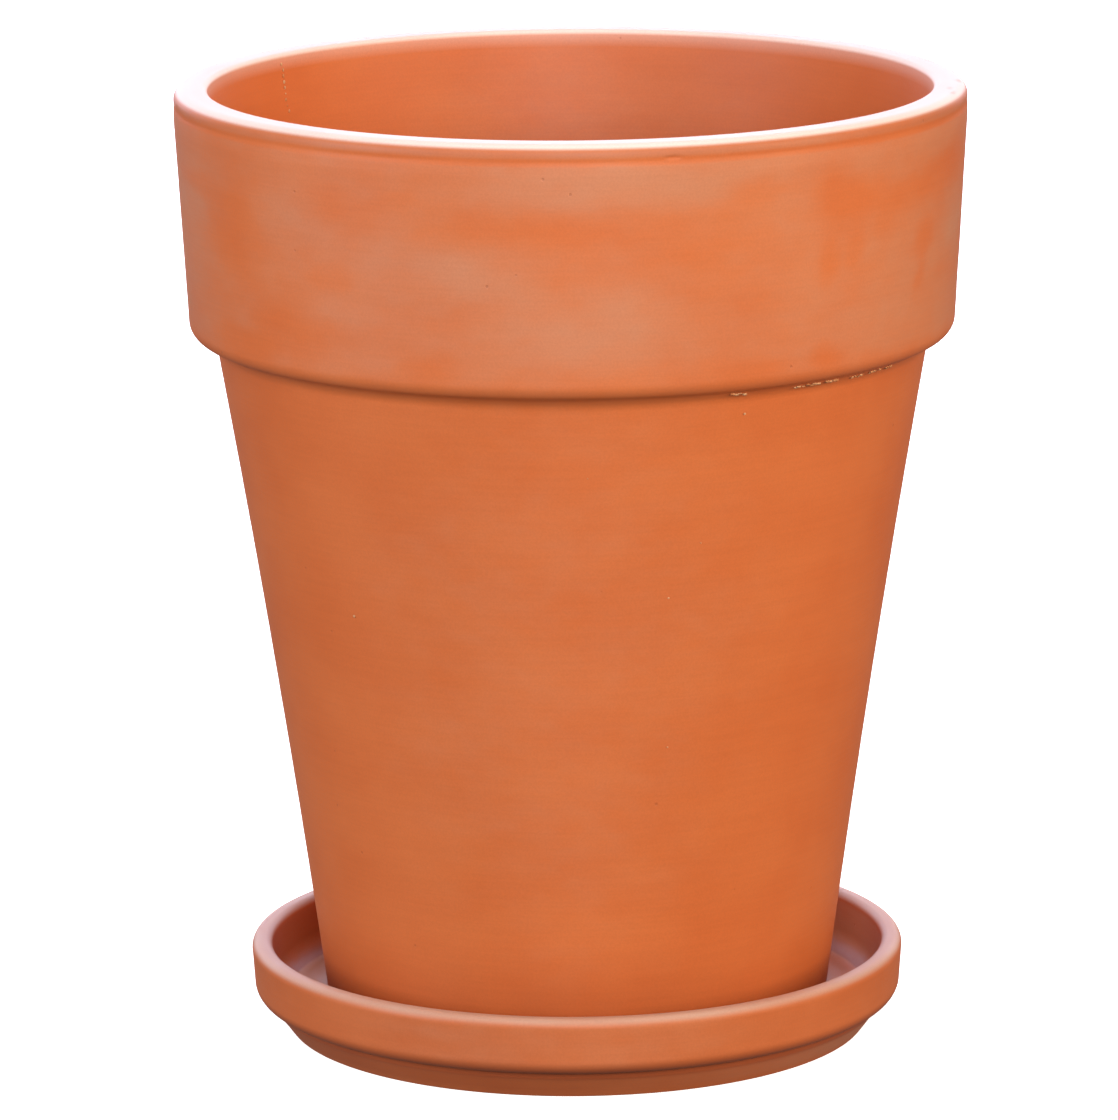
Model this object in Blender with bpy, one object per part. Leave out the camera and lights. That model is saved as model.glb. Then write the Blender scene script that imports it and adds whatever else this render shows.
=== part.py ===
"""Tall terracotta flower pot standing in its matching saucer.

Both pieces are single turned bodies of unglazed fired clay. Units are metres and +Z is up. The origin
is the centre of the saucer's underside, on the common axis of the two pieces. The pot lifts straight
up out of the saucer along that axis.
"""

import math

import bmesh
import bpy

# Turning
SEGMENTS = 64                   # flats round each turned body
ARC_STEP = math.radians(24)     # longest turn between two points of a rounded corner
BODY_STEPS = 6                  # runs that make up the gently flared body
WELD = 0.00001                  # the first and last profiles of a full turn meet within this
SMOOTH_BELOW = math.radians(35)

# Saucer
SAUCER_RIM_RADIUS = 0.1131      # outside of the band, at the top
SAUCER_BAND_FOOT_RADIUS = 0.1123
SAUCER_HEIGHT = 0.0302
SAUCER_WALL = 0.0072            # thickness of the band at the rim
SAUCER_WALL_LEAN = 0.0008       # how far the inner wall comes in from the rim to the floor
SAUCER_LIP_OUTER_ROUND = 0.0032
SAUCER_LIP_INNER_ROUND = 0.0026
SAUCER_FLOOR = 0.0100           # height of the floor's upper face
SAUCER_FLOOR_FILLET = 0.0080
SAUCER_BAND_ROUND = 0.0052      # rounded lower corner of the band
SAUCER_BAND_UNDERSIDE = 0.0101
SAUCER_STEP_RADIUS = 0.1063     # inner corner, where the base meets the band's underside
SAUCER_STEP_HEIGHT = 0.0080
SAUCER_BASE_RADIUS = 0.1006
SAUCER_BASE_ROUND = 0.0010
SAUCER_RECESS_RADIUS = 0.0860   # shallow recess that leaves a flat ring to stand on
SAUCER_RECESS_DEPTH = 0.0015

# Pot
SEAT_GAP = 0.0003               # clearance between the pot's foot and the saucer's floor
POT_HEIGHT = 0.3190
RIM_RADIUS = 0.1350
COLLAR_FOOT_RADIUS = 0.1310
COLLAR_HEIGHT = 0.0879
COLLAR_STRAIGHT_TOP = 0.0105    # below the rim, where the collar stops widening
COLLAR_FOOT_ROUND = 0.0057
COLLAR_FOOT_RISE = 0.0024       # the collar's underside rises this much towards the outside
LIP_OUTER_ROUND = 0.0040
LIP_INNER_ROUND = 0.0020
LIP_WIDTH = 0.0117
BODY_TOP_RADIUS = 0.1218        # under the collar
FOOT_RADIUS = 0.0867
BODY_HOLLOW = 0.00125           # how far the body's side curves in from a straight cone, halfway up
FOOT_ROUND = 0.0025
WALL_AT_FLOOR = 0.0115
POT_FLOOR = 0.0120              # height of the inner floor above the foot
POT_FLOOR_FILLET = 0.0080
DRAIN_RADIUS = 0.0120
DRAIN_ROUND = 0.0015
FOOT_RECESS_RADIUS = 0.0680
FOOT_RECESS_DEPTH = 0.0020
RECESS_SLOPE = 0.0020           # width of the sloping edge of a recess

CLAY_COLOUR = (0.520, 0.165, 0.062, 1.0)
SAUCER_COLOUR = (0.490, 0.155, 0.060, 1.0)
CLAY_ROUGHNESS = 0.85

# Directions from a corner's centre, in degrees. UNDER is DOWN, reached from IN.
DOWN, OUT, UP, IN, UNDER = -90.0, 0.0, 90.0, 180.0, 270.0
BASE_WALL_FACES = -38.0         # the saucer's base flares, so its wall faces out and down
UNDERSIDE_FACES = -75.0         # and so does the underside of the pot's collar


def clear_scene():
    """Removes every object of the scene."""
    for obj in list(bpy.data.objects):
        bpy.data.objects.remove(obj, do_unlink=True)


def corner(radius, height, rounding, start, end):
    """Points of a rounded corner of a profile, about its centre (radius, height), from start to end."""
    turn = math.radians(end - start)
    steps = max(2, math.ceil(abs(turn) / ARC_STEP))
    angles = [math.radians(start) + turn * i / steps for i in range(steps + 1)]
    return [(radius + rounding * math.cos(a), height + rounding * math.sin(a)) for a in angles]


def body_radius(height):
    """Outer radius of the pot's body at a height above its foot: a cone that curves in slightly."""
    top = POT_HEIGHT - COLLAR_HEIGHT
    share = height / top
    cone = FOOT_RADIUS + (BODY_TOP_RADIUS - FOOT_RADIUS) * share
    return cone - BODY_HOLLOW * 4 * share * (1 - share)


def turned_body(name, profile, closed, location, material):
    """Makes an object by turning a profile of (radius, height) points about the Z axis."""
    mesh = bpy.data.meshes.new(name)
    shape = bmesh.new()
    points = [shape.verts.new((radius, 0.0, height)) for radius, height in profile]
    runs = list(zip(points, points[1:]))
    if closed:
        runs.append((points[-1], points[0]))
    edges = [shape.edges.new(run) for run in runs]
    bmesh.ops.spin(shape, geom=points + edges, cent=(0, 0, 0), axis=(0, 0, 1),
                   angle=math.tau, steps=SEGMENTS, use_merge=True)
    bmesh.ops.remove_doubles(shape, verts=shape.verts[:], dist=WELD)
    bmesh.ops.recalc_face_normals(shape, faces=shape.faces[:])
    shape.to_mesh(mesh)
    shape.free()
    mesh.shade_smooth()
    mesh.set_sharp_from_angle(angle=SMOOTH_BELOW)
    mesh.materials.append(material)
    obj = bpy.data.objects.new(name, mesh)
    obj.location = location
    bpy.context.scene.collection.objects.link(obj)
    return obj


def fired_clay(name, colour):
    """Makes a matt material for unglazed clay."""
    material = bpy.data.materials.new(name)
    material.use_nodes = True
    shader = material.node_tree.nodes["Principled BSDF"]
    shader.inputs["Base Color"].default_value = colour
    shader.inputs["Roughness"].default_value = CLAY_ROUGHNESS
    shader.inputs["Metallic"].default_value = 0.0
    return material


def saucer_profile():
    """Outline of the saucer, from the centre of its underside round the band to the centre of its floor."""
    lip_radius = SAUCER_RIM_RADIUS - SAUCER_LIP_OUTER_ROUND
    inner_rim = SAUCER_RIM_RADIUS - SAUCER_WALL
    inner_foot = inner_rim - SAUCER_WALL_LEAN
    band_centre = SAUCER_BAND_FOOT_RADIUS - SAUCER_BAND_ROUND
    outline = [(0.0, SAUCER_RECESS_DEPTH)]
    outline.append((SAUCER_RECESS_RADIUS, SAUCER_RECESS_DEPTH))
    outline.append((SAUCER_RECESS_RADIUS + RECESS_SLOPE, 0.0))
    outline += corner(SAUCER_BASE_RADIUS - SAUCER_BASE_ROUND, SAUCER_BASE_ROUND,
                      SAUCER_BASE_ROUND, DOWN, BASE_WALL_FACES)
    outline.append((SAUCER_STEP_RADIUS, SAUCER_STEP_HEIGHT))
    outline += corner(band_centre, SAUCER_BAND_UNDERSIDE + SAUCER_BAND_ROUND,
                      SAUCER_BAND_ROUND, DOWN, OUT)
    outline += corner(lip_radius, SAUCER_HEIGHT - SAUCER_LIP_OUTER_ROUND,
                      SAUCER_LIP_OUTER_ROUND, OUT, UP)
    outline += corner(inner_rim + SAUCER_LIP_INNER_ROUND, SAUCER_HEIGHT - SAUCER_LIP_INNER_ROUND,
                      SAUCER_LIP_INNER_ROUND, UP, IN)
    # The fillet turns the other way, so its centre lies inside the saucer's hollow.
    outline += corner(inner_foot - SAUCER_FLOOR_FILLET, SAUCER_FLOOR + SAUCER_FLOOR_FILLET,
                      SAUCER_FLOOR_FILLET, OUT, DOWN)
    outline.append((0.0, SAUCER_FLOOR))
    return outline


def pot_profile():
    """Closed outline of the pot's wall and floor, from the drain hole out along the foot and round."""
    body_top = POT_HEIGHT - COLLAR_HEIGHT
    underside = body_top + COLLAR_FOOT_RISE
    inner_rim = RIM_RADIUS - LIP_WIDTH
    inner_foot = body_radius(POT_FLOOR) - WALL_AT_FLOOR
    outline = corner(DRAIN_RADIUS + DRAIN_ROUND, FOOT_RECESS_DEPTH + DRAIN_ROUND,
                     DRAIN_ROUND, IN, UNDER)
    outline.append((FOOT_RECESS_RADIUS, FOOT_RECESS_DEPTH))
    outline.append((FOOT_RECESS_RADIUS + RECESS_SLOPE, 0.0))
    outline += corner(FOOT_RADIUS - FOOT_ROUND, FOOT_ROUND, FOOT_ROUND, DOWN, OUT)
    for step in range(1, BODY_STEPS + 1):
        height = FOOT_ROUND + (body_top - FOOT_ROUND) * step / BODY_STEPS
        outline.append((body_radius(height), height))
    outline += corner(COLLAR_FOOT_RADIUS - COLLAR_FOOT_ROUND, underside + COLLAR_FOOT_ROUND,
                      COLLAR_FOOT_ROUND, UNDERSIDE_FACES, OUT)
    outline.append((RIM_RADIUS, POT_HEIGHT - COLLAR_STRAIGHT_TOP))
    outline += corner(RIM_RADIUS - LIP_OUTER_ROUND, POT_HEIGHT - LIP_OUTER_ROUND,
                      LIP_OUTER_ROUND, OUT, UP)
    outline += corner(inner_rim + LIP_INNER_ROUND, POT_HEIGHT - LIP_INNER_ROUND,
                      LIP_INNER_ROUND, UP, IN)
    outline += corner(inner_foot - POT_FLOOR_FILLET, POT_FLOOR + POT_FLOOR_FILLET,
                      POT_FLOOR_FILLET, OUT, DOWN)
    outline += corner(DRAIN_RADIUS + DRAIN_ROUND, POT_FLOOR - DRAIN_ROUND, DRAIN_ROUND, UP, IN)
    return outline


def main():
    """Builds the saucer at the origin and the pot on its floor."""
    clear_scene()
    saucer = turned_body("saucer", saucer_profile(), False, (0, 0, 0),
                         fired_clay("saucer_clay", SAUCER_COLOUR))
    pot = turned_body("pot", pot_profile(), True, (0, 0, SAUCER_FLOOR + SEAT_GAP),
                      fired_clay("pot_clay", CLAY_COLOUR))
    pot.parent = saucer


main()
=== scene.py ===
"""Tall terracotta flower pot standing in its matching saucer, dressed for a studio render.

The two CAD bodies stay in MuJoCo as they are. Here each one gets a finer turned surface with the marks
of its making, a few crumbs of lime, and a procedural finish of fired clay. Lengths are in metres and
+Z is up. The front of the pot faces -Y, and azimuths are counted from there towards +X.
"""

from __future__ import annotations

import logging
import math
from dataclasses import dataclass, field
from enum import Enum

import bpy
import numpy as np
from mathutils import Matrix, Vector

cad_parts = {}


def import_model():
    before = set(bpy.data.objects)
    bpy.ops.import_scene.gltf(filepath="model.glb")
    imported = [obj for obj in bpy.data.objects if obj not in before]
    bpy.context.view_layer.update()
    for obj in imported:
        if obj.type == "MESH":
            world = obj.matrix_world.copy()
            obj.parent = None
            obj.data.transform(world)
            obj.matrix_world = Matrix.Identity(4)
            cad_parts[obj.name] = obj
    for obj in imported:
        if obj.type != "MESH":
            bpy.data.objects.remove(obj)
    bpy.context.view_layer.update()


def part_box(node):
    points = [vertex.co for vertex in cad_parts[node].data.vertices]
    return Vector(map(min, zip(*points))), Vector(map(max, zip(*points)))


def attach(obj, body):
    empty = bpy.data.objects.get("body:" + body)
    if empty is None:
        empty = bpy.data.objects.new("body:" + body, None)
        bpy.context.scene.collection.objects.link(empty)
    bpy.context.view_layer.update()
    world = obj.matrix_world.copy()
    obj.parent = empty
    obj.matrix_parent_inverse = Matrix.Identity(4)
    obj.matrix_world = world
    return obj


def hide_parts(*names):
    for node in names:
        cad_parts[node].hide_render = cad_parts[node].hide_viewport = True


LOG = logging.getLogger("terracotta")
MM = 0.001


class Stage(Enum):
    """Sizes of the studio, in metres."""

    FLOOR_HALF_SIDE = 6.0


class Body(Enum):
    """Names of the CAD bodies, which are also the names of their nodes."""

    POT = "pot"
    SAUCER = "saucer"


def linear(code: str) -> tuple[float, float, float, float]:
    """Linear RGBA of a colour.

    Args:
        code: sRGB colour as six hex digits.

    Returns:
        Red, green and blue in linear light, and an alpha of 1.
    """
    parts = np.array([int(code[i:i + 2], 16) for i in (0, 2, 4)]) / 255.0
    light = np.where(parts <= 0.04045, parts / 12.92, ((parts + 0.055) / 1.055) ** 2.4)
    return (float(light[0]), float(light[1]), float(light[2]), 1.0)


def per_mm(size: float) -> float:
    """Texture scale on coordinates in metres that gives features of about this many millimetres."""
    return 1.0 / (size * MM)


class NodeGraph:
    """The nodes of one material, added one call at a time."""

    def __init__(self, name: str) -> None:
        """Starts a material with a Principled BSDF and an output."""
        self.material = bpy.data.materials.new(name)
        self.material.use_nodes = True
        self.tree = self.material.node_tree
        self.shader = self.tree.nodes["Principled BSDF"]

    def add(self, kind: str, inputs: dict | None = None, **settings: object) -> bpy.types.Node:
        """Adds a node.

        Args:
            kind: type of the node, without its "ShaderNode" prefix.
            inputs: value or output socket for each input, by the input's name or index.
            settings: the node's own properties.

        Returns:
            The new node.
        """
        node = self.tree.nodes.new("ShaderNode" + kind)
        for key, value in settings.items():
            setattr(node, key, value)
        for key, value in (inputs or {}).items():
            self.feed(node.inputs[key], value)
        return node

    def feed(self, socket: bpy.types.NodeSocket, value: object) -> None:
        """Links an output socket to an input, or sets the input's value."""
        if isinstance(value, bpy.types.NodeSocket):
            self.tree.links.new(value, socket)
        else:
            socket.default_value = value

    def math(self, operation: str, first: object, second: object = 0.0) -> bpy.types.NodeSocket:
        """Output of a Math node."""
        return self.add("Math", {0: first, 1: second}, operation=operation).outputs[0]

    def ramp(self, value: object, low: float, high: float,
             to_low: float = 0.0, to_high: float = 1.0) -> bpy.types.NodeSocket:
        """Output that eases from to_low to to_high as value goes from low to high."""
        node = self.add("MapRange", {0: value, 1: low, 2: high, 3: to_low, 4: to_high},
                        interpolation_type="SMOOTHSTEP")
        return node.outputs[0]

    def mix(self, share: object, first: object, second: object,
            blend: str = "MIX") -> bpy.types.NodeSocket:
        """Output of a colour Mix node."""
        node = self.add("Mix", {0: share, 6: first, 7: second}, data_type="RGBA", blend_type=blend)
        return node.outputs[2]

    def noise(self, place: object, size_mm: float, detail: float = 2.0,
              stretch: tuple[float, float, float] = (1.0, 1.0, 1.0)) -> bpy.types.NodeSocket:
        """Noise of a size in millimetres, stretched by a factor along each axis."""
        scaled = self.add("VectorMath", {0: place, 1: tuple(1.0 / s for s in stretch)},
                          operation="MULTIPLY")
        node = self.add("TexNoise", {"Vector": scaled.outputs[0], "Scale": per_mm(size_mm),
                                     "Detail": detail, "Roughness": 0.55})
        return node.outputs["Fac"]


@dataclass(frozen=True)
class FiredClay:
    """Unglazed red clay, turned on a wheel and fired to a matt, slightly chalky skin."""

    name: str
    body: str = "CC6C37"            # the clay where it is clean
    deep: str = "C6632E"            # denser, more orange skin
    bloom_and_painted_light: str = "BF8465"           # pale, pinkish skin of salts left by drying, also painted where paler light and reflections fall
    chalk_and_highlight: str = "EAD3C8"           # rubbed, dusty edges, and the painted highlight and reflection on lips and rims
    pit: str = "7A3A1C"             # shade inside pinholes
    painted_shade: str = "9C4A24"          # painted shade: low on the pot's body, on its lip's outer rounding, on inner walls and under the saucer's band
    roughness: float = 0.54
    grain_mm: float = 0.7
    line_mm: float = 1.1            # spacing of the fine lines left by turning
    line_depth_mm: float = 0.035
    pit_cell_mm: float = 9.0

    def material(self) -> bpy.types.Material:
        """Builds the node material."""
        graph = NodeGraph(self.name)
        place = graph.add("TexCoord").outputs["Object"]
        pale_share = graph.add("Attribute", attribute_name="bloom_and_painted_light").outputs["Fac"]
        edge = graph.add("Attribute", attribute_name="dust_and_highlight").outputs["Fac"]
        dark = graph.add("Attribute", attribute_name="painted_shade").outputs["Fac"]

        # Clouds of denser and paler skin, a few centimetres across, drawn out round the wheel.
        clouds = graph.noise(place, 48.0, 3.0, (1.0, 1.0, 0.7))
        smears = graph.noise(place, 7.0, 3.0, (1.6, 1.6, 0.9))
        # Fine lines that the turning tool drags round the wall.
        lines = graph.noise(place, self.line_mm, 2.0, (30.0, 30.0, 1.0))
        # Grain of the clay itself.
        grain = graph.noise(place, self.grain_mm, 3.0)

        skin = graph.mix(graph.ramp(clouds, 0.2, 0.8), linear(self.deep), linear(self.body))
        uneven = graph.math("ADD", pale_share, graph.math("MULTIPLY", graph.math("SUBTRACT", smears, 0.5), 0.2))
        # The pale colour is the real salts, and also painted paler light and reflection.
        skin = graph.mix(graph.ramp(uneven, 0.15, 0.95), skin, linear(self.bloom_and_painted_light))
        # Painted shade, mixed in from its own attribute.
        skin = graph.mix(dark, skin, linear(self.painted_shade))
        # Dust, and a painted highlight and reflection on the lips and rims.
        skin = graph.mix(edge, skin, linear(self.chalk_and_highlight))
        tone = graph.math("ADD", graph.ramp(lines, 0.3, 0.7, 0.985, 1.013),
                          graph.ramp(grain, 0.3, 0.7, -0.035, 0.035))
        shade = graph.add("CombineColor", {0: tone, 1: tone, 2: tone})
        skin = graph.mix(1.0, skin, shade.outputs[0], "MULTIPLY")

        # Pinholes: only the cells whose random value is high have one.
        cells = graph.add("TexVoronoi", {"Vector": place, "Scale": per_mm(self.pit_cell_mm)})
        chance = graph.add("SeparateColor", {0: cells.outputs["Color"]}).outputs[0]
        hole = graph.math("MULTIPLY", graph.ramp(cells.outputs["Distance"], 0.035, 0.075, 1.0, 0.0),
                          graph.ramp(chance, 0.87, 0.90))
        skin = graph.mix(graph.math("MULTIPLY", hole, 0.24), skin, linear(self.pit))
        graph.feed(graph.shader.inputs["Base Color"], skin)

        rough = graph.math("ADD", graph.ramp(grain, 0.3, 0.7, -0.05, 0.05), self.roughness)
        graph.feed(graph.shader.inputs["Roughness"], graph.math("SUBTRACT", rough,
                                                                graph.math("MULTIPLY", pale_share, 0.06)))
        relief = graph.math("ADD", graph.math("MULTIPLY", lines, 0.55), graph.math("MULTIPLY", grain, 0.45))
        relief = graph.math("SUBTRACT", relief, graph.math("MULTIPLY", hole, 3.0))
        bump = graph.add("Bump", {"Strength": 1.0, "Distance": self.line_depth_mm * MM, "Height": relief})
        graph.feed(graph.shader.inputs["Normal"], bump.outputs[0])
        graph.shader.inputs["Specular IOR Level"].default_value = 0.38
        return graph.material


@dataclass(frozen=True)
class Lime:
    """Dried lime that crumbled onto the clay: chalky, off-white and quite matt."""

    name: str = "lime_crumbs"
    pale: str = "CC9A70"
    stained: str = "BC7646"

    def material(self) -> bpy.types.Material:
        """Builds the node material."""
        graph = NodeGraph(self.name)
        place = graph.add("TexCoord").outputs["Object"]
        # Each crumb takes up some of the clay's colour, unevenly.
        stain = graph.noise(place, 2.5, 3.0)
        graph.feed(graph.shader.inputs["Base Color"],
                   graph.mix(graph.ramp(stain, 0.38, 0.66), linear(self.pale), linear(self.stained)))
        bump = graph.add("Bump", {"Strength": 1.0, "Distance": 0.1 * MM,
                                  "Height": graph.noise(place, 0.5, 3.0)})
        graph.feed(graph.shader.inputs["Normal"], bump.outputs[0])
        graph.feed(graph.shader.inputs["Roughness"], graph.ramp(stain, 0.3, 0.7, 0.86, 0.95))
        return graph.material


@dataclass
class Outline:
    """Profile of a turned piece: points of radius and height, at a chosen spacing."""

    points: list[np.ndarray] = field(default_factory=list)

    def line(self, start: tuple[float, float], end: tuple[float, float], step: float) -> None:
        """Adds a straight run from start up to end."""
        count = max(1, math.ceil(math.dist(start, end) / step))
        share = np.arange(count + 1)[:, None] / count
        self.points.append(np.array(start) * (1 - share) + np.array(end) * share)

    def arc(self, centre: tuple[float, float], radius: float, start: float, end: float,
            step: float) -> None:
        """Adds an arc.

        Args:
            centre: radius and height of the arc's centre.
            radius: radius of the arc.
            start: direction of its first point from the centre, in degrees; 0 is outwards, 90 is up.
            end: direction of its last point.
            step: longest distance between two points.
        """
        turn = math.radians(end - start)
        count = max(3, math.ceil(abs(turn) * radius / step))
        angles = math.radians(start) + turn * np.arange(count + 1) / count
        self.points.append(np.array(centre) + radius * np.column_stack([np.cos(angles), np.sin(angles)]))

    def array(self) -> np.ndarray:
        """All the points as one array, without repeats."""
        joined = np.concatenate(self.points)
        apart = np.linalg.norm(np.diff(joined, axis=0), axis=1) > 0.02 * MM
        return joined[np.concatenate([[True], apart])]


def ease(value: np.ndarray, low: float, high: float) -> np.ndarray:
    """Smooth step from 0 at low to 1 at high."""
    share = np.clip((value - low) / (high - low), 0.0, 1.0)
    return share * share * (3.0 - 2.0 * share)


def ring_noise(seed: int, azimuth: np.ndarray, height: np.ndarray, cells: int,
               cell_height: float) -> np.ndarray:
    """Value noise on a turned surface that meets itself all the way round.

    Random values sit on a lattice of azimuth and height, and each point takes the eased mean of the
    four round it.

    Args:
        seed: seed of the random values.
        azimuth: azimuths of the columns, in radians.
        height: heights of the rows, in metres.
        cells: lattice points round the surface.
        cell_height: height between lattice points.

    Returns:
        Values from -1 to 1, a row for each height and a column for each azimuth.
    """
    across = np.mod(azimuth, math.tau) / math.tau * cells
    along = (height - height.min()) / cell_height
    lattice = np.random.default_rng(seed).uniform(-1, 1, (int(along.max()) + 2, cells))
    column, row = across.astype(int) % cells, along.astype(int)
    part_across = ease(across - np.floor(across), 0.0, 1.0)[None, :]
    part_along = ease(along - row, 0.0, 1.0)[:, None]
    after = (column + 1) % cells
    low = lattice[np.ix_(row, column)] * (1 - part_across) + lattice[np.ix_(row, after)] * part_across
    high = (lattice[np.ix_(row + 1, column)] * (1 - part_across)
            + lattice[np.ix_(row + 1, after)] * part_across)
    return low * (1 - part_along) + high * part_along


def layered_noise(seed: int, azimuth: np.ndarray, height: np.ndarray, coarse: tuple[int, float],
                  fine: tuple[int, float], share: float = 0.6) -> np.ndarray:
    """A coarse and a fine ring noise, added in shares.

    Args:
        seed: seed of the coarse noise; the fine one takes the next.
        azimuth: azimuths of the columns, in radians.
        height: heights of the rows, in metres.
        coarse: cells round the surface and their height, of the coarse noise.
        fine: the same of the fine noise.
        share: the coarse noise's share.

    Returns:
        Values from -1 to 1, a row for each height and a column for each azimuth.
    """
    return (share * ring_noise(seed, azimuth, height, *coarse)
            + (1.0 - share) * ring_noise(seed + 1, azimuth, height, *fine))


@dataclass(frozen=True)
class Patch:
    """A soft-edged spot of a turned surface, for instance of paler or denser skin."""

    azimuth: float              # degrees from the front, towards +X
    height: float               # millimetres above the floor
    half_angle: float           # degrees
    half_height: float          # millimetres
    strength: float

    def field(self, azimuth: np.ndarray, height: np.ndarray) -> np.ndarray:
        """The spot's strength at each point.

        It is flat in the middle and falls off outside an ellipse, as exp(-d^3) of the distance d in
        half sizes.

        Args:
            azimuth: azimuths in radians, in an array that broadcasts with the heights.
            height: heights in metres.

        Returns:
            The strength, in the arrays' common shape.
        """
        turn = np.mod(azimuth - math.radians(self.azimuth) + math.pi, math.tau) - math.pi
        across = turn / math.radians(self.half_angle)
        along = (height / MM - self.height) / self.half_height
        return self.strength * np.exp(-(across ** 2 + along ** 2) ** 1.5)


@dataclass
class TurnedPiece:
    """A piece turned about the Z axis from a profile, with a slight relief on its surface."""

    name: str
    body: Body
    slot: str
    columns: int = 336

    def azimuths(self) -> np.ndarray:
        """Azimuths of the columns, in radians."""
        return np.arange(self.columns) * math.tau / self.columns

    def outline(self) -> np.ndarray:
        """Profile of the piece, as points of radius and height."""
        raise NotImplementedError

    def relief(self, outline: np.ndarray, azimuth: np.ndarray) -> np.ndarray:
        """Distance that each point is moved along its normal, in metres."""
        raise NotImplementedError

    def fields(self, outline: np.ndarray, azimuth: np.ndarray) -> dict[str, np.ndarray]:
        """Values from 0 to 1 at each point that the finish reads, by name."""
        raise NotImplementedError

    def build(self, finish: bpy.types.Material) -> bpy.types.Object:
        """Builds the piece and ties it to its CAD body.

        A profile that starts and ends on the axis is closed there with one point each, and any other
        profile is a loop, so its last ring is joined to its first.

        Args:
            finish: material of the piece.

        Returns:
            The finished object.
        """
        outline, azimuth = self.outline(), self.azimuths()
        on_axis = outline[0, 0] < MM
        ahead, behind = np.roll(outline, -1, axis=0), np.roll(outline, 1, axis=0)
        if on_axis:
            ahead[-1], behind[0] = outline[-1], outline[0]
        along = ahead - behind
        along /= np.linalg.norm(along, axis=1, keepdims=True)
        # The profile runs with the clay on its left, so the surface faces right of it.
        outward = np.column_stack([along[:, 1], -along[:, 0]])
        move = self.relief(outline, azimuth)
        radius = outline[:, 0, None] + outward[:, 0, None] * move
        height = outline[:, 1, None] + outward[:, 1, None] * move
        points = np.stack([radius * np.sin(azimuth), -radius * np.cos(azimuth), height], axis=2)
        rows, columns = len(outline), len(azimuth)
        fields = self.fields(outline, azimuth)
        grid = np.arange(rows * columns).reshape(rows, columns)
        faces = []
        if on_axis:
            poles = np.array([[0, 0, outline[0, 1]], [0, 0, outline[-1, 1]]])
            points = np.concatenate([points[1:-1].reshape(-1, 3), poles])
            fields = {key: np.concatenate([value[1:-1].ravel(), value[[0, -1], 0]])
                      for key, value in fields.items()}
            grid = grid[:rows - 2]
            first, last = len(points) - 2, len(points) - 1
            start, end = grid[0], grid[-1]
            faces += np.column_stack([np.full(columns, first), np.roll(start, -1), start]).tolist()
            faces += np.column_stack([np.full(columns, last), end, np.roll(end, -1)]).tolist()
            lower, upper = grid[:-1], grid[1:]
        else:
            points = points.reshape(-1, 3)
            fields = {key: value.ravel() for key, value in fields.items()}
            lower, upper = grid, np.roll(grid, -1, axis=0)
        quads = np.stack([lower, np.roll(lower, -1, axis=1), np.roll(upper, -1, axis=1), upper], axis=2)
        faces += quads.reshape(-1, 4).tolist()
        mesh = bpy.data.meshes.new(self.name)
        mesh.from_pydata(points.tolist(), [], faces)
        mesh.shade_smooth()
        for key, value in fields.items():
            layer = mesh.attributes.new(key, "FLOAT", "POINT")
            layer.data.foreach_set("value", value.astype(np.float32))
        mesh.materials.append(finish)
        piece = bpy.data.objects.new(self.name, mesh)
        bpy.context.scene.collection.objects.link(piece)
        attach(piece, self.body.value)
        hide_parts(self.body.value)
        LOG.info("%s: %d triangles", self.name, sum(len(face) - 2 for face in faces))
        return piece


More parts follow.
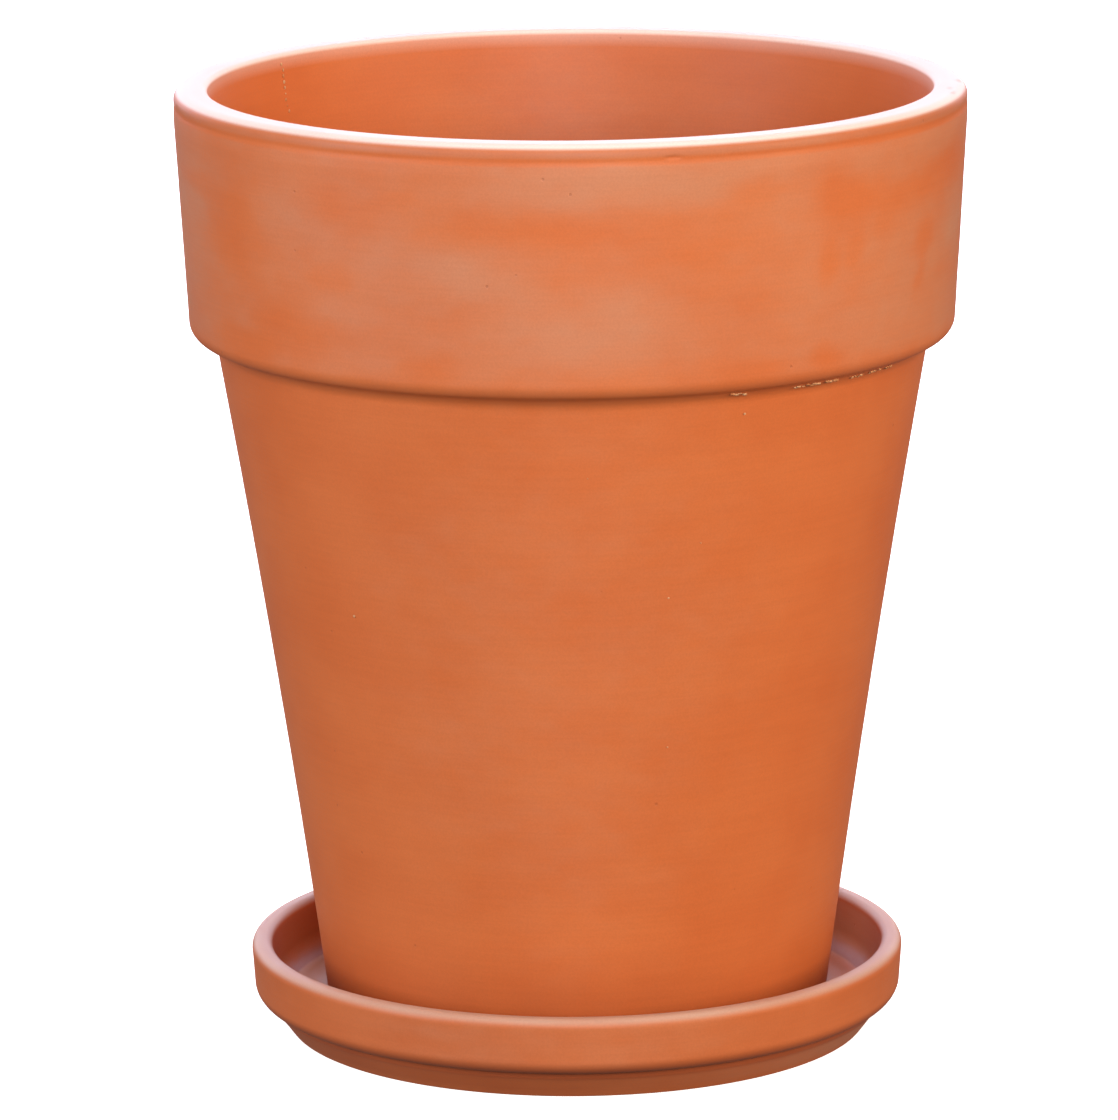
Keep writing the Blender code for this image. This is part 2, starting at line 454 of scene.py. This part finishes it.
@dataclass
class Pot(TurnedPiece):
    """The pot: a tapering body under a tall plain collar with a rounded lip."""

    name: str = "pot_wall"
    columns: int = 300
    body: Body = Body.POT
    slot: str = "pot_clay"
    foot: float = 0.0103            # height of the foot above the table
    top: float = 0.3293
    rim_radius: float = 0.1350
    collar_foot_radius: float = 0.1310
    collar_height: float = 0.0879
    collar_straight_top: float = 0.0105
    collar_foot_round: float = 0.0057
    collar_foot_rise: float = 0.0024
    lip_outer_round: float = 0.0040
    lip_inner_round: float = 0.0020
    lip_width: float = 0.0117
    body_top_radius: float = 0.1218
    foot_radius: float = 0.0867
    body_hollow: float = 0.00125
    foot_round: float = 0.0025
    wall_at_floor: float = 0.0115
    floor: float = 0.0120
    floor_fillet: float = 0.0080
    drain_radius: float = 0.0120
    drain_round: float = 0.0015
    recess_radius: float = 0.0680
    recess_depth: float = 0.0020
    recess_slope: float = 0.0020
    groove_below_lip: float = 0.0059    # shallow line cut round the collar, just under the lip
    groove_width: float = 0.0010
    groove_depth: float = 0.00016
    wave_depth_outside: float = 0.00010     # waves that the turning left
    wave_depth_inside: float = 0.00016
    body_rows: int = 90
    body_bloom: float = 0.10            # pale film on the body
    collar_bloom: float = 0.38          # and how much more of it lies on the collar
    patch_share: float = 0.55           # how strongly the collar's patches show
    # Dust and painted highlight on the top of the lip.
    lip_chalk_and_highlight: float = 0.88
    foot_painted_shade: float = 0.5              # painted shade on the lowest part of the body, beside the saucer
    nick_azimuth: float = 14.3          # where the tool caught the edge of the line, in degrees
    nick_half_angle: float = 2.2        # the fine columns reach this far to each side of it
    nick_columns: int = 17
    patches: tuple[Patch, ...] = (
        # Denser, more orange skin, in runs and fingers.
        Patch(-57, 291, 7, 16, -0.42),
        Patch(-68, 304, 10, 4, -0.30),
        Patch(-50, 268, 9, 9, -0.18),
        Patch(-34, 301, 6, 7, -0.30),
        Patch(-26, 308, 5, 4, -0.22),
        Patch(-37, 281, 4, 6, -0.26),
        Patch(-8, 302, 18, 6, -0.22),
        Patch(-1, 282, 2, 7, -0.16),
        Patch(17, 297, 9, 10, -0.24),
        Patch(26, 310, 5, 7, -0.26),
        Patch(42, 305, 6, 11, -0.45),
        Patch(40, 284, 2.2, 8, -0.32),
        Patch(45, 288, 2, 7, -0.26),
        Patch(51, 294, 2, 6, -0.18),
        Patch(54, 304, 9, 6, -0.26),
        Patch(71, 307, 11, 8, -0.38),
        Patch(62, 285, 3, 7, -0.28),
        Patch(61, 274, 1.6, 5, -0.22),
        Patch(-57, 253, 9, 5, -0.40),
        Patch(-46, 259, 9, 8, -0.28),
        Patch(-22, 253, 5, 5, -0.30),
        Patch(39, 253, 3.5, 7, -0.34),
        Patch(22, 251, 26, 4, -0.22),
        # Paler film, where the clay dried last.
        Patch(0, 316, 22, 8, 0.34),
        Patch(3, 268, 13, 13, 0.36),
        Patch(-12, 284, 8, 8, 0.24),
        Patch(-30, 315, 30, 8, -0.14),
        Patch(74, 283, 6, 9, 0.34),
    )
    lip_marks_and_highlight: tuple[Patch, ...] = (
        # A painted highlight across the front of the lip, then darker dabs on its top.
        Patch(0, 130, 50, 40, 0.10),
        Patch(88.7, 132, 1.3, 1.0, -0.45),
        Patch(77.0, 132, 1.2, 0.8, -0.40),
        Patch(81.0, 129.4, 1.1, 0.8, -0.30),
        Patch(108.2, 131, 1.2, 0.9, -0.25),
    )
    body_painted_light: tuple[Patch, ...] = (
        # Painted light: a paler veil of reflected light on the front of the body and on the inner back
        # wall, and painted shade on the inner left wall.
        Patch(-2, 150, 42, 130, 0.23),
        Patch(176, 300, 44, 60, 0.24),
        Patch(-118, 310, 30, 70, -0.16),
    )
    inner_shades: tuple[Patch, ...] = (
        # Painted shade on the inner wall: on its right side, and along the top of its back.
        Patch(125, 300, 50, 70, 0.34),
        Patch(180, 319, 44, 11, 0.16),
    )

    def azimuths(self) -> np.ndarray:
        """Azimuths of the columns, closer together at the nick."""
        even = np.arange(self.columns) * math.tau / self.columns
        reach = math.radians(self.nick_half_angle)
        fine = math.radians(self.nick_azimuth) + np.linspace(-1, 1, self.nick_columns) * reach
        apart = np.abs(even[:, None] - fine[None, :]).min(axis=1) > math.radians(0.25)
        return np.sort(np.concatenate([even[apart], fine]))

    def body_radius(self, height: np.ndarray | float) -> np.ndarray | float:
        """Outer radius of the body at a height above the foot: a cone that curves in slightly."""
        share = height / (self.top - self.foot - self.collar_height)
        cone = self.foot_radius + (self.body_top_radius - self.foot_radius) * share
        return cone - self.body_hollow * 4 * share * (1 - share)

    def inner_foot_radius(self) -> float:
        """Radius of the inner wall where it reaches the floor."""
        return self.body_radius(self.floor) - self.wall_at_floor

    def outline(self) -> np.ndarray:
        """Profile from the drain hole out along the foot, up the outside and down the inside."""
        tall = self.top - self.foot
        body_top = tall - self.collar_height
        inner_rim = self.rim_radius - self.lip_width
        inner_foot = self.inner_foot_radius()
        collar_centre = self.collar_foot_radius - self.collar_foot_round
        underside = body_top + self.collar_foot_rise
        drain = self.drain_radius + self.drain_round
        path = Outline()
        path.arc((drain, self.recess_depth + self.drain_round), self.drain_round, 180, 270, 0.5 * MM)
        path.line((drain, self.recess_depth), (self.recess_radius, self.recess_depth), 8 * MM)
        path.line((self.recess_radius, self.recess_depth),
                  (self.recess_radius + self.recess_slope, 0.0), 1 * MM)
        path.line((self.recess_radius + self.recess_slope, 0.0),
                  (self.foot_radius - self.foot_round, 0.0), 4 * MM)
        path.arc((self.foot_radius - self.foot_round, self.foot_round), self.foot_round, -90, 0, 0.6 * MM)
        heights = np.linspace(self.foot_round, body_top, self.body_rows)
        path.points.append(np.column_stack([self.body_radius(heights), heights]))
        path.arc((collar_centre, underside + self.collar_foot_round), self.collar_foot_round, -75, 0,
                 0.8 * MM)
        straight = tall - self.collar_straight_top
        path.line((self.collar_foot_radius, underside + self.collar_foot_round),
                  (self.rim_radius, straight), 1.8 * MM)
        path.line((self.rim_radius, straight), (self.rim_radius, tall - self.lip_outer_round), 0.35 * MM)
        path.arc((self.rim_radius - self.lip_outer_round, tall - self.lip_outer_round),
                 self.lip_outer_round, 0, 90, 0.5 * MM)
        path.line((self.rim_radius - self.lip_outer_round, tall),
                  (inner_rim + self.lip_inner_round, tall), 1.5 * MM)
        path.arc((inner_rim + self.lip_inner_round, tall - self.lip_inner_round),
                 self.lip_inner_round, 90, 180, 0.4 * MM)
        path.line((inner_rim, tall - self.lip_inner_round),
                  (inner_foot, self.floor + self.floor_fillet), 4.2 * MM)
        path.arc((inner_foot - self.floor_fillet, self.floor + self.floor_fillet), self.floor_fillet,
                 0, -90, 1.5 * MM)
        path.line((inner_foot - self.floor_fillet, self.floor), (drain, self.floor), 6 * MM)
        path.arc((drain, self.floor - self.drain_round), self.drain_round, 90, 180, 0.5 * MM)
        outline = path.array()
        outline[:, 1] += self.foot
        return outline

    def outside(self, radius: np.ndarray, height: np.ndarray) -> np.ndarray:
        """1 on the outer faces and 0 on the inner ones, which meet in the middle of the wall."""
        inner_foot = self.inner_foot_radius()
        share = (height - self.foot - self.floor) / (self.top - self.foot - self.floor)
        inner = inner_foot + (self.rim_radius - self.lip_width - inner_foot) * share
        return 1.0 * (radius > inner + 0.45 * self.wall_at_floor)

    def relief(self, outline: np.ndarray, azimuth: np.ndarray) -> np.ndarray:
        """Turning waves, a line cut under the lip with one nick, and a trace of unevenness."""
        radius, height = outline.T
        outside = self.outside(radius, height)
        waves = layered_noise(11, azimuth, height, (3, 17 * MM), (7, 6 * MM), 0.5)
        depth = self.wave_depth_inside + (self.wave_depth_outside - self.wave_depth_inside) * outside
        move = depth[:, None] * (waves - 1.0) * 0.5
        # Flat or hidden parts stay true: the foot that the pot stands on, and the sharp drain hole.
        move *= ease(height, self.foot + 2 * MM, self.foot + 9 * MM)[:, None]
        groove_height = self.top - self.groove_below_lip
        groove = np.exp(-((height - groove_height) / self.groove_width) ** 2) * outside
        wobble = 1.0 + 0.35 * ring_noise(13, azimuth, height, 24, 1.0)
        move -= self.groove_depth * groove[:, None] * wobble
        nick = Patch(self.nick_azimuth, (groove_height + 0.9 * MM) / MM, 1.1, 0.6, 0.4 * MM)
        return move - nick.field(azimuth[None, :], height[:, None]) * outside[:, None]

    def fields(self, outline: np.ndarray, azimuth: np.ndarray) -> dict[str, np.ndarray]:
        """Where the skin is paler with salts or painted light, where dust lies or a highlight is painted,
        and where shade is painted.
        """
        radius, height = outline.T
        outside = self.outside(radius, height)
        collar_foot = self.top - self.collar_height
        collar = outside * ease(height, collar_foot, collar_foot + 12 * MM)
        cloud = layered_noise(21, azimuth, height, (14, 22 * MM), (40, 9 * MM))
        # The patches have ragged edges, so their places are pushed about a little first.
        around = azimuth[None, :] + math.radians(1.5) * ring_noise(23, azimuth, height, 72, 7 * MM)
        along = height[:, None] + 2.0 * MM * ring_noise(24, azimuth, height, 60, 8 * MM)
        bloom_and_painted_light = self.body_bloom + 0.05 * cloud + collar[:, None] * (self.collar_bloom + 0.08 * cloud)
        for patch in self.patches:
            bloom_and_painted_light = bloom_and_painted_light + self.patch_share * collar[:, None] * patch.field(around, along)
        # Painted paler light and painted shade on the body and the inner wall.
        for patch in self.body_painted_light:
            bloom_and_painted_light = bloom_and_painted_light + (1.0 - collar[:, None]) * patch.field(around, along)
        # Dust on the lip, with a painted highlight on its top and on its inner edge.
        lip = ease(height, self.top - 2.1 * MM, self.top - 0.9 * MM)
        line = (height - self.top + self.groove_below_lip) / (1.35 * self.groove_width)
        groove = np.exp(-line ** 4) * outside
        inner_lip_pale = 0.5 * ease(height, self.top - 2.6 * MM, self.top - 1.5 * MM) * (1.0 - outside)
        dust_and_highlight = np.maximum(self.lip_chalk_and_highlight * lip, inner_lip_pale)[:, None] * (1.0 + 0.08 * cloud)
        # On the lip's flat top a patch's second measure is its distance from the axis.
        for patch in self.lip_marks_and_highlight:
            dust_and_highlight = dust_and_highlight + lip[:, None] * patch.field(azimuth[None, :], radius[:, None])
        bloom_and_painted_light = bloom_and_painted_light * (1.0 - 0.5 * groove[:, None])
        # Painted shade on the lowest part of the body, where the saucer's rim shades it.
        foot_shade = self.foot_painted_shade * ease(height, self.foot + 42 * MM, self.foot + 4 * MM) * outside
        # Painted shade on the lip's outer rounding, below its lit top.
        rounding = 0.3 * np.exp(-((height - self.top + 3.1 * MM) / (1.4 * MM)) ** 2) * outside
        painted_shade = (foot_shade + rounding)[:, None] * (1.0 + 0.3 * cloud)
        # Painted shade on the inner wall.
        for patch in self.inner_shades:
            painted_shade = painted_shade + (1.0 - outside[:, None]) * patch.field(around, along)
        return {"bloom_and_painted_light": np.clip(bloom_and_painted_light, 0.0, 1.0), "dust_and_highlight": np.clip(dust_and_highlight, 0.0, 1.0),
                "painted_shade": np.clip(painted_shade, 0.0, 1.0)}


@dataclass
class Saucer(TurnedPiece):
    """The saucer: a shallow tray with a rounded band, stepping in to a lower base."""

    name: str = "saucer_wall"
    body: Body = Body.SAUCER
    slot: str = "saucer_clay"
    rim_radius: float = 0.1131
    band_foot_radius: float = 0.1123
    height: float = 0.0302
    wall: float = 0.0072
    wall_lean: float = 0.0008
    lip_outer_round: float = 0.0032
    lip_inner_round: float = 0.0026
    floor: float = 0.0100
    floor_fillet: float = 0.0080
    band_round: float = 0.0052
    band_underside: float = 0.0101
    step_radius: float = 0.1063
    step_height: float = 0.0080
    base_radius: float = 0.1006
    base_round: float = 0.0010
    recess_radius: float = 0.0860
    recess_depth: float = 0.0015
    recess_slope: float = 0.0020
    wave_depth: float = 0.00010
    lit_side_azimuth: float = 95.0      # side of the inner wall that is painted paler and less shaded, in degrees
    # Dust and painted reflection on the top of the rim.
    rim_chalk_and_reflection: float = 0.45
    band_bloom: float = 0.12        # pale film on the band, away from the front

    def outline(self) -> np.ndarray:
        """Profile from the centre of the underside, round the band, to the centre of the floor."""
        inner_rim = self.rim_radius - self.wall
        inner_foot = inner_rim - self.wall_lean
        base_centre = (self.base_radius - self.base_round, self.base_round)
        turn = math.radians(-38)
        base_end = (base_centre[0] + self.base_round * math.cos(turn),
                    base_centre[1] + self.base_round * math.sin(turn))
        band_centre = (self.band_foot_radius - self.band_round, self.band_underside + self.band_round)
        path = Outline()
        path.line((0.0, self.recess_depth), (self.recess_radius, self.recess_depth), 8 * MM)
        path.line((self.recess_radius, self.recess_depth), (self.recess_radius + self.recess_slope, 0.0),
                  0.7 * MM)
        path.line((self.recess_radius + self.recess_slope, 0.0), (base_centre[0], 0.0), 3 * MM)
        path.arc(base_centre, self.base_round, -90, -38, 0.2 * MM)
        path.line(base_end, (self.step_radius, self.step_height), 0.7 * MM)
        path.line((self.step_radius, self.step_height), (band_centre[0], self.band_underside), 0.5 * MM)
        path.arc(band_centre, self.band_round, -90, 0, 0.5 * MM)
        path.line((self.band_foot_radius, band_centre[1]),
                  (self.rim_radius, self.height - self.lip_outer_round), 0.7 * MM)
        path.arc((self.rim_radius - self.lip_outer_round, self.height - self.lip_outer_round),
                 self.lip_outer_round, 0, 90, 0.45 * MM)
        path.line((self.rim_radius - self.lip_outer_round, self.height),
                  (inner_rim + self.lip_inner_round, self.height), 0.6 * MM)
        path.arc((inner_rim + self.lip_inner_round, self.height - self.lip_inner_round),
                 self.lip_inner_round, 90, 180, 0.45 * MM)
        path.line((inner_rim, self.height - self.lip_inner_round),
                  (inner_foot, self.floor + self.floor_fillet), 0.8 * MM)
        path.arc((inner_foot - self.floor_fillet, self.floor + self.floor_fillet), self.floor_fillet,
                 0, -90, 0.9 * MM)
        path.line((inner_foot - self.floor_fillet, self.floor), (0.0, self.floor), 4 * MM)
        return path.array()

    def relief(self, outline: np.ndarray, azimuth: np.ndarray) -> np.ndarray:
        """Slight waves of the band, none on the faces that something stands on."""
        radius, height = outline.T
        waves = ring_noise(31, azimuth, radius + height, 9, 5 * MM)
        share = ease(radius, 0.100, 0.104) * ease(height, 1 * MM, 4 * MM)
        return self.wave_depth * 0.5 * (waves - 1.0) * share[:, None]

    def fields(self, outline: np.ndarray, azimuth: np.ndarray) -> dict[str, np.ndarray]:
        """Where the skin is paler with salts or painted light, where dust lies or a reflection is painted,
        and where shade is painted.
        """
        radius, height = outline.T
        inner_wall = self.rim_radius - self.wall
        cloud = layered_noise(41, azimuth, radius + height, (18, 12 * MM), (46, 5 * MM))
        tray = ease(radius, inner_wall - 2 * MM, inner_wall - 6 * MM)
        # Painted paler veil of reflected light on the front of the band.
        front = Patch(-4, 20, 34, 40, 0.22).field(azimuth[None, :], height[:, None])
        bloom_and_painted_light = (self.band_bloom + front + 0.12 * cloud) * ease(height, 9 * MM, 13 * MM)[:, None]
        # Dust on the rim, with a painted reflection of the bright room on its top.
        lip = ease(height, self.height - 2.6 * MM, self.height - 0.6 * MM)
        dust_and_highlight = self.rim_chalk_and_reflection * lip[:, None] * (1.0 + 0.3 * cloud)
        # Painted shade on the underside of the band.
        under = ease(height, 16 * MM, 11 * MM) * ease(height, 6 * MM, 8.5 * MM) * (radius > 0.1)
        inside = ease(np.abs(radius - inner_wall + 2 * MM), 5 * MM, 1 * MM)
        inside *= ease(height, self.height - 1 * MM, self.height - 4 * MM)
        # Painted light and shade: the inner wall is painted paler and less shaded on one side, and darker
        # on the other.
        lit_side = (0.5 + 0.5 * np.cos(azimuth - math.radians(self.lit_side_azimuth)))[None, :]
        bloom_and_painted_light = bloom_and_painted_light + inside[:, None] * (0.65 * lit_side - 0.1)
        # Painted reflection: the floor is painted paler, most on the side away from the paler side of the
        # wall.
        bloom_and_painted_light = bloom_and_painted_light + (tray * (height > 5 * MM))[:, None] * (0.8 - 0.45 * lit_side)
        # Painted shade on the inner wall, deepest away from its paler side.
        inner_shade = inside[:, None] * (0.5 - 0.4 * lit_side)
        painted_shade = np.maximum(0.95 * under[:, None], inner_shade) * (1.0 + 0.2 * cloud)
        return {"bloom_and_painted_light": np.clip(bloom_and_painted_light, 0.0, 1.0), "dust_and_highlight": np.clip(dust_and_highlight, 0.0, 1.0),
                "painted_shade": np.clip(painted_shade, 0.0, 1.0)}


@dataclass(frozen=True)
class Crumb:
    """One crumb of lime: where it sits and how big it is."""

    azimuth: float              # degrees from the front, towards +X
    radius: float               # millimetres from the axis
    height: float               # millimetres above the floor
    size: tuple[float, float, float]    # half sizes round, out and up, in millimetres


@dataclass
class LimeCrumbs:
    """Crumbs of lime under the edge of the collar, and specks of it elsewhere on the pot."""

    name: str = "pot_lime_crumbs"
    seed: int = 5
    rings: int = 5
    sides: int = 8
    specks: tuple[Crumb, ...] = (
        Crumb(-42.7, 108.6, 161.7, (0.55, 0.25, 0.5)),
        Crumb(2.3, 117.4, 215.8, (0.3, 0.2, 0.3)),
        Crumb(16.4, 110.4, 172.9, (0.45, 0.25, 0.35)),
        Crumb(21.7, 113.4, 191.4, (0.3, 0.2, 0.3)),
        Crumb(17.5, 102.2, 120.1, (0.35, 0.2, 0.3)),
        Crumb(27.9, 120.8, 235.0, (0.55, 0.3, 0.45)),
    )
    clusters: tuple[tuple[float, float, int], ...] = (
        (24.6, 27.8, 7), (36.3, 38.8, 6), (39.2, 41.4, 6), (42.0, 45.5, 9), (48.5, 51.3, 7),
        (53.3, 56.0, 8), (58.0, 60.2, 6))      # first and last azimuth, and how many crumbs
    drip: tuple[float, float, float] = (-125.0, 309.0, 325.5)   # azimuth, lowest and highest point
    mouth_radius: float = 123.3         # where the inner wall meets the lip's rounding
    mouth_height: float = 327.3
    inner_slope: float = 0.1566         # how much the inner wall comes in for each unit of depth

    def crumbs(self) -> list[Crumb]:
        """The specks, a broken row under the collar's edge at the right, and a drip inside the rim."""
        random = np.random.default_rng(self.seed)
        row = []
        for start, end, count in self.clusters:
            level = random.uniform(0.2, 0.8)
            for azimuth in random.uniform(start, end, count):
                lift = float(np.clip(level + random.uniform(-0.25, 0.25), 0.0, 1.0))
                size = random.uniform(0.25, 0.75)
                row.append(Crumb(azimuth, 122.0 + 3.4 * lift, 241.4 + 1.8 * lift,
                                 (size * 1.5, size * 0.5, size * 0.7)))
        azimuth, low, high = self.drip
        for height in np.linspace(low, high, 9):
            size = random.uniform(0.3, 0.75)
            # The inner wall comes in from its mouth at a steady slope.
            wall = self.mouth_radius - self.inner_slope * (self.mouth_height - height)
            row.append(Crumb(azimuth + random.uniform(-0.3, 0.3), wall, height,
                             (size, size * 0.5, size * 1.3)))
        return row + list(self.specks)

    def build(self, finish: bpy.types.Material) -> bpy.types.Object:
        """Builds all the crumbs as one object that rides on the pot.

        Each crumb is a low ball whose points are pushed in and out at random.

        Args:
            finish: material of the crumbs.

        Returns:
            The finished object.
        """
        random = np.random.default_rng(self.seed + 1)
        polar = np.arange(1, self.rings) * math.pi / self.rings
        around = np.arange(self.sides) * math.tau / self.sides
        ball = np.stack([np.sin(polar)[:, None] * np.cos(around), np.sin(polar)[:, None] * np.sin(around),
                         np.cos(polar)[:, None] * np.ones(self.sides)], axis=2).reshape(-1, 3)
        ball = np.concatenate([ball, [[0, 0, 1], [0, 0, -1]]])
        grid = np.arange((self.rings - 1) * self.sides).reshape(self.rings - 1, self.sides)
        after = np.roll(grid, -1, axis=1)
        quads = np.stack([grid[:-1], grid[1:], after[1:], after[:-1]], axis=2).reshape(-1, 4)
        north, south = len(ball) - 2, len(ball) - 1
        caps = np.concatenate([
            np.column_stack([np.full(self.sides, north), grid[0], after[0]]),
            np.column_stack([np.full(self.sides, south), after[-1], grid[-1]])])
        points, faces = [], []
        for crumb in self.crumbs():
            turn = math.radians(crumb.azimuth)
            round_way = np.array([math.cos(turn), math.sin(turn), 0.0])
            out = np.array([math.sin(turn), -math.cos(turn), 0.0])
            axes = np.stack([round_way * crumb.size[0], -out * crumb.size[1],
                             np.array([0.0, 0.0, crumb.size[2]])])
            lumps = ball * random.uniform(0.75, 1.15, (len(ball), 1))
            centre = out * crumb.radius + np.array([0.0, 0.0, crumb.height])
            start = len(ball) * len(points)
            points.append((centre + lumps @ axes) * MM)
            faces += (quads + start).tolist() + (caps + start).tolist()
        mesh = bpy.data.meshes.new(self.name)
        mesh.from_pydata(np.concatenate(points).tolist(), [], faces)
        mesh.shade_smooth()
        mesh.materials.append(finish)
        piece = bpy.data.objects.new(self.name, mesh)
        bpy.context.scene.collection.objects.link(piece)
        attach(piece, Body.POT.value)
        LOG.info("%s: %d crumbs", self.name, len(points))
        return piece


@dataclass
class SoftLight:
    """A softbox that points at the middle of the pot."""

    name: str
    place: tuple[float, float, float]
    size: tuple[float, float]       # width and height
    power: float
    colour: str = "FFFFFF"
    target: tuple[float, float, float] = (0.0, 0.0, 0.17)

    def build(self) -> bpy.types.Object:
        """Adds the light."""
        data = bpy.data.lights.new(self.name, "AREA")
        data.shape = "RECTANGLE"
        data.size, data.size_y = self.size
        data.energy = self.power
        data.color = linear(self.colour)[:3]
        light = bpy.data.objects.new(self.name, data)
        away = np.array(self.place) - np.array(self.target)
        away /= np.linalg.norm(away)
        hint = np.array([0.0, 1.0, 0.0]) if abs(away[2]) > 0.95 else np.array([0.0, 0.0, 1.0])
        side = np.cross(hint, away)
        side /= np.linalg.norm(side)
        light.matrix_world = axes_matrix(side, np.cross(away, side), away, self.place)
        light.visible_camera = False
        bpy.context.scene.collection.objects.link(light)
        return light


def axes_matrix(x_axis: np.ndarray, y_axis: np.ndarray, z_axis: np.ndarray,
                place: tuple[float, float, float]) -> Matrix:
    """Matrix with these axes and this origin."""
    matrix = np.eye(4)
    matrix[:3, 0], matrix[:3, 1], matrix[:3, 2], matrix[:3, 3] = x_axis, y_axis, z_axis, place
    return Matrix(matrix.tolist())


@dataclass
class Studio:
    """White sweep, soft light from above and both sides, and a long lens a little above the rim."""

    camera_place: tuple[float, float, float] = (0.0, -2.5, 0.7116)
    pitch: float = 12.38            # degrees down
    yaw: float = -0.118
    roll: float = -0.465
    lens: float = 238.6             # millimetres on a 36 mm sensor
    sky_strength: float = 0.35      # even light from above the horizon
    ground_strength: float = 0.19   # and from below it
    floor_colour: str = "FAFAFA"
    floor_glow: float = 0.8
    exposure: float = 0.0
    lights: tuple[SoftLight, ...] = (
        SoftLight("light_back", (-0.2, 2.0, 0.95), (3.4, 1.5), 60.0, "E2E2FF"),
        SoftLight("light_overhead", (0.0, 0.0, 2.2), (0.6, 0.6), 12.2, "F6F4FF"),
        SoftLight("light_front", (0.15, -2.3, 1.0), (0.9, 0.9), 31.3),
        SoftLight("light_right", (2.0, -1.1, 0.75), (1.0, 1.0), 35.5, "FFE6C0"),
        SoftLight("light_left", (-2.0, -1.1, 0.75), (1.0, 1.0), 30.5, "F8F2F6"),
    )

    def build_floor(self) -> bpy.types.Object:
        """Adds the floor that the saucer stands on."""
        half = Stage.FLOOR_HALF_SIDE.value
        mesh = bpy.data.meshes.new("stage_floor")
        mesh.from_pydata([(-half, -half, 0), (half, -half, 0), (half, half, 0), (-half, half, 0)],
                         [], [(0, 1, 2, 3)])
        graph = NodeGraph("stage_paper")
        graph.shader.inputs["Base Color"].default_value = linear(self.floor_colour)
        graph.shader.inputs["Roughness"].default_value = 0.9
        # The sweep is lit on its own, so it shows white and throws no light back up at the clay.
        graph.shader.inputs["Emission Color"].default_value = linear(self.floor_colour)
        graph.shader.inputs["Emission Strength"].default_value = self.floor_glow
        mesh.materials.append(graph.material)
        floor = bpy.data.objects.new("stage_floor", mesh)
        floor.visible_diffuse = False
        floor.visible_glossy = False
        bpy.context.scene.collection.objects.link(floor)
        return floor

    def build_world(self) -> None:
        """Fills the room with even white light."""
        world = bpy.data.worlds.new("studio")
        world.use_nodes = True
        tree = world.node_tree
        place = tree.nodes.new("ShaderNodeTexCoord")
        split = tree.nodes.new("ShaderNodeSeparateXYZ")
        fade = tree.nodes.new("ShaderNodeMapRange")
        fade.inputs["From Min"].default_value = -0.12
        fade.inputs["From Max"].default_value = 0.12
        fade.inputs["To Min"].default_value = self.ground_strength
        fade.inputs["To Max"].default_value = self.sky_strength
        tree.links.new(place.outputs["Generated"], split.inputs[0])
        tree.links.new(split.outputs["Z"], fade.inputs["Value"])
        tree.links.new(fade.outputs[0], tree.nodes["Background"].inputs["Strength"])
        tree.nodes["Background"].inputs["Color"].default_value = (1.0, 1.0, 1.0, 1.0)
        bpy.context.scene.world = world

    def build_camera(self) -> bpy.types.Object:
        """Adds the camera, turned by its pitch, yaw and roll."""
        pitch, yaw, roll = (math.radians(a) for a in (self.pitch, self.yaw, self.roll))
        forward = np.array([math.sin(yaw) * math.cos(pitch), math.cos(yaw) * math.cos(pitch),
                            -math.sin(pitch)])
        right = np.array([math.cos(yaw), -math.sin(yaw), 0.0])
        up = np.cross(right, forward)
        turned_right = math.cos(roll) * right + math.sin(roll) * up
        turned_up = math.cos(roll) * up - math.sin(roll) * right
        data = bpy.data.cameras.new("camera")
        data.sensor_width = 36.0
        data.lens = self.lens
        data.clip_end = 50.0
        camera = bpy.data.objects.new("camera", data)
        camera.matrix_world = axes_matrix(turned_right, turned_up, -forward, self.camera_place)
        bpy.context.scene.collection.objects.link(camera)
        bpy.context.scene.camera = camera
        return camera

    def build(self) -> None:
        """Builds the whole studio and sets how light becomes colour."""
        self.build_floor()
        self.build_world()
        for light in self.lights:
            light.build()
        self.build_camera()
        view = bpy.context.scene.view_settings
        view.view_transform = "Standard"
        view.exposure = self.exposure


def main() -> None:
    """Loads the CAD model, builds the pieces on it and the studio round it."""
    logging.basicConfig(level=logging.INFO, format="%(name)s %(message)s")
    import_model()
    Studio().build()
    pot_low, pot_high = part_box(Body.POT.value)
    _, saucer_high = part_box(Body.SAUCER.value)
    Pot(foot=pot_low.z, top=pot_high.z, rim_radius=pot_high.x).build(FiredClay("pot_fired_clay").material())
    Saucer(height=saucer_high.z, rim_radius=saucer_high.x).build(
        FiredClay("saucer_fired_clay", body="C3693A", deep="BC5E2D", chalk_and_highlight="C8BCAE").material())
    LimeCrumbs().build(Lime().material())


if __name__ == "__main__":
    main()
